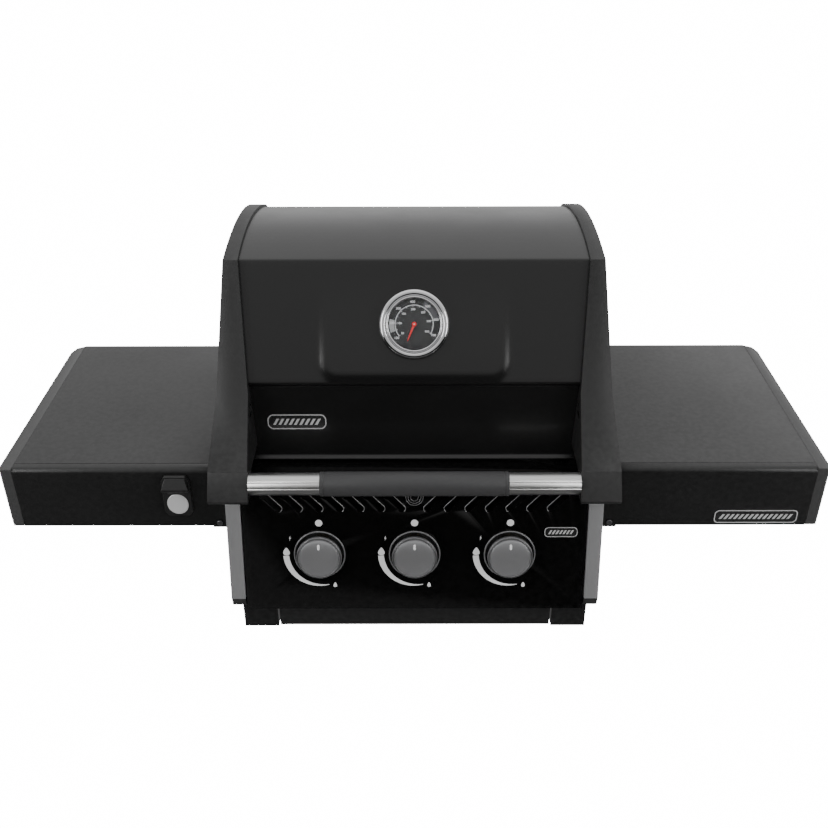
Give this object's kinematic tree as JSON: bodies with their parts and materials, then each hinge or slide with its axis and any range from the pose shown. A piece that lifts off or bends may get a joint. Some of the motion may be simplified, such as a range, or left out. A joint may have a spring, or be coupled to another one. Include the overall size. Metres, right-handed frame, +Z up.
{
  "type": "gas barbecue grill",
  "caption": "Built-in or cart-top gas barbecue grill head with a hinged curved lid, front handle and gauge, push-and-turn knobs, folding side shelves and a pull-out grease tray.",
  "frame": {"origin": "middle of the base's underside", "axes": "+X to the right as seen by the cook, +Y to the back, +Z up"},
  "size_m": [1.25, 0.5604, 0.5551],
  "materials": {
    "base_steel": "satin black",
    "box_enamel": "semi-gloss heat-proof enamel",
    "zinc_steel": "zinc plated",
    "gloss_enamel": "gloss porcelain enamel",
    "pillar_grey": "satin grey",
    "dark_plastic": "moulded",
    "badge_metal": "printed metal plate",
    "bezel_black": "semi-gloss",
    "brass": "machined",
    "manifold_steel": "plated",
    "stainless": "brushed",
    "ceramic": "glazed ceramic",
    "cast_iron": "seasoned",
    "rack_wire": "plated wire",
    "lid_enamel": "semi-gloss enamel",
    "cast_satin": "satin powder coat on casting",
    "handle_steel": "brushed along its length",
    "grip_plastic": "soft matte",
    "gauge_chrome": "polished",
    "dial_black": "printed matt face",
    "gauge_glass": "clear",
    "needle_red": "enamel",
    "knob_smoke": "smoked chrome",
    "shelf_satin": "satin powder coat",
    "powder_texture": "coarse textured powder coat",
    "shelf_trim": "satin",
    "opener_black": "satin",
    "tray_steel": "aluminised",
    "foil": "pressed foil"
  },
  "bodies": {
    "chassis": {"base_frame": "base_steel", "cook_box": "box_enamel", "hinge_brackets": "base_steel", "hinge_pins": "zinc_steel", "control_panel": "gloss_enamel", "panel_pillar_left": "pillar_grey", "panel_pillar_right": "pillar_grey", "pillar_feet": "dark_plastic", "panel_badge": "badge_metal", "knob_bezels": "bezel_black", "gas_valves": "brass", "manifold": "manifold_steel", "burner_left": "stainless", "burner_centre": "stainless", "burner_right": "stainless", "igniters": "ceramic", "flame_plates": "stainless", "cooking_grid_left": "cast_iron", "cooking_grid_right": "cast_iron", "warming_rack": "rack_wire", "shelf_bracket_left": "base_steel", "shelf_bracket_right": "base_steel", "shelf_pivots": "zinc_steel", "bracket_bolts": "zinc_steel"},
    "lid": {"lid_sheet": "lid_enamel", "lid_cap_left": "cast_satin", "lid_cap_right": "cast_satin", "handle_block_left": "cast_satin", "handle_block_right": "cast_satin", "handle_tube": "handle_steel", "handle_grip": "grip_plastic", "handle_screws": "zinc_steel", "lid_badge": "badge_metal", "gauge_bezel": "gauge_chrome", "gauge_dial": "dial_black", "gauge_glass": "gauge_glass", "gauge_probe": "stainless", "gauge_nut": "zinc_steel"},
    "needle": {"gauge_needle": "needle_red"},
    "shelf_left": {"shelf_left_top": "shelf_satin", "shelf_left_fascia": "powder_texture", "shelf_left_trim": "shelf_trim", "bottle_opener": "opener_black"},
    "shelf_right": {"shelf_right_top": "shelf_satin", "shelf_right_fascia": "powder_texture", "shelf_right_trim": "shelf_trim", "shelf_badge": "badge_metal"},
    "tray": {"grease_tray": "tray_steel", "drip_cup": "foil"},
    "collar_left": {"collar_left": "zinc_steel"},
    "knob_left": {"knob_left": "knob_smoke", "stem_left": "brass"},
    "collar_centre": {"collar_centre": "zinc_steel"},
    "knob_centre": {"knob_centre": "knob_smoke", "stem_centre": "brass"},
    "collar_right": {"collar_right": "zinc_steel"},
    "knob_right": {"knob_right": "knob_smoke", "stem_right": "brass"}
  },
  "joints": [
    {"name": "lid_hinge", "type": "hinge", "parent": "chassis", "child": "lid", "pos_m": [0, 0.26834, 0.285], "axis": [-1, 0, 0], "range_deg": [0, 85]},
    {"name": "needle_turn", "type": "hinge", "parent": "lid", "child": "needle", "pos_m": [0, -0.09133, 0.455], "axis": [0, 0.8918, -0.4524], "range_deg": [0, 270], "stiffness_Nm_per_rad": 0.002},
    {"name": "shelf_left_fold", "type": "hinge", "parent": "chassis", "child": "shelf_left", "pos_m": [-0.301, 0, 0.172], "axis": [0, -1, 0], "range_deg": [0, 90]},
    {"name": "shelf_right_fold", "type": "hinge", "parent": "chassis", "child": "shelf_right", "pos_m": [0.301, 0, 0.172], "axis": [0, 1, 0], "range_deg": [0, 90]},
    {"name": "tray_slide", "type": "slide", "parent": "chassis", "child": "tray", "axis": [0, -1, 0], "range_m": [0, 0.3]},
    {"name": "knob_push_left", "type": "slide", "parent": "chassis", "child": "collar_left", "axis": [0, 0.9759, -0.2181], "range_m": [0, 0.004], "stiffness_N_per_m": 900, "springref_m": -0.002},
    {"name": "knob_turn_left", "type": "hinge", "parent": "collar_left", "child": "knob_left", "pos_m": [-0.145, -0.24744, 0.142], "axis": [0, -0.9759, 0.2181], "range_deg": [0, 210]},
    {"name": "knob_push_centre", "type": "slide", "parent": "chassis", "child": "collar_centre", "axis": [0, 0.9759, -0.2181], "range_m": [0, 0.004], "stiffness_N_per_m": 900, "springref_m": -0.002},
    {"name": "knob_turn_centre", "type": "hinge", "parent": "collar_centre", "child": "knob_centre", "pos_m": [0, -0.24744, 0.142], "axis": [0, -0.9759, 0.2181], "range_deg": [0, 210]},
    {"name": "knob_push_right", "type": "slide", "parent": "chassis", "child": "collar_right", "axis": [0, 0.9759, -0.2181], "range_m": [0, 0.004], "stiffness_N_per_m": 900, "springref_m": -0.002},
    {"name": "knob_turn_right", "type": "hinge", "parent": "collar_right", "child": "knob_right", "pos_m": [0.145, -0.24744, 0.142], "axis": [0, -0.9759, 0.2181], "range_deg": [0, 210]}
  ]
}
